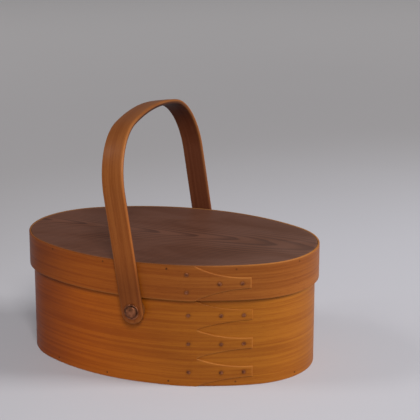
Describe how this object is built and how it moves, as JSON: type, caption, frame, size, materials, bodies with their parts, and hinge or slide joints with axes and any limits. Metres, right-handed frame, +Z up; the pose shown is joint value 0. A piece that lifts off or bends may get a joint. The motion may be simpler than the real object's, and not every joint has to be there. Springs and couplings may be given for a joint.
{
  "type": "oval bentwood carrier",
  "caption": "Oval bentwood carrier with a lapped wall, a lift-off lid and a riveted handle that swings over it to either side.",
  "frame": {"origin": "middle of the bottom, on the surface that the box stands on", "axes": "+X along the box, to the right seen from the front; the front, with the lapped fingers, faces -Y; +Z up"},
  "size_m": [0.2776, 0.2028, 0.2346],
  "materials": {
    "wall_wood": "satin",
    "lid_rim_wood": "satin",
    "lid_board_wood": "satin",
    "bottom_wood": "matte",
    "handle_wood": "satin",
    "spacer_wood": "satin",
    "peg_wood": "satin",
    "copper": "satin"
  },
  "bodies": {
    "box": {"body_band": "wall_wood", "bottom_board": "bottom_wood", "body_finger_tacks": "copper", "body_lap_tacks": "copper", "bottom_pegs": "peg_wood", "front_rivet": "copper", "back_rivet": "copper", "front_washer": "copper", "back_washer": "copper", "front_spacer": "spacer_wood", "back_spacer": "spacer_wood", "front_burr": "copper", "back_burr": "copper"},
    "lid": {"lid_band": "lid_rim_wood", "lid_board": "lid_board_wood", "lid_finger_tacks": "copper", "lid_lap_tacks": "copper", "lid_pegs": "peg_wood"},
    "handle": {"handle": "handle_wood"}
  },
  "joints": [
    {"name": "handle_swing", "type": "hinge", "parent": "box", "child": "handle", "pos_m": [0, 0, 0.0687], "axis": [0, 1, 0], "range_deg": [-99.5, 116.5]},
    {"name": "lid_lift", "type": "slide", "parent": "box", "child": "lid", "axis": [0, 0, 1], "range_m": [0, 0.04]}
  ]
}
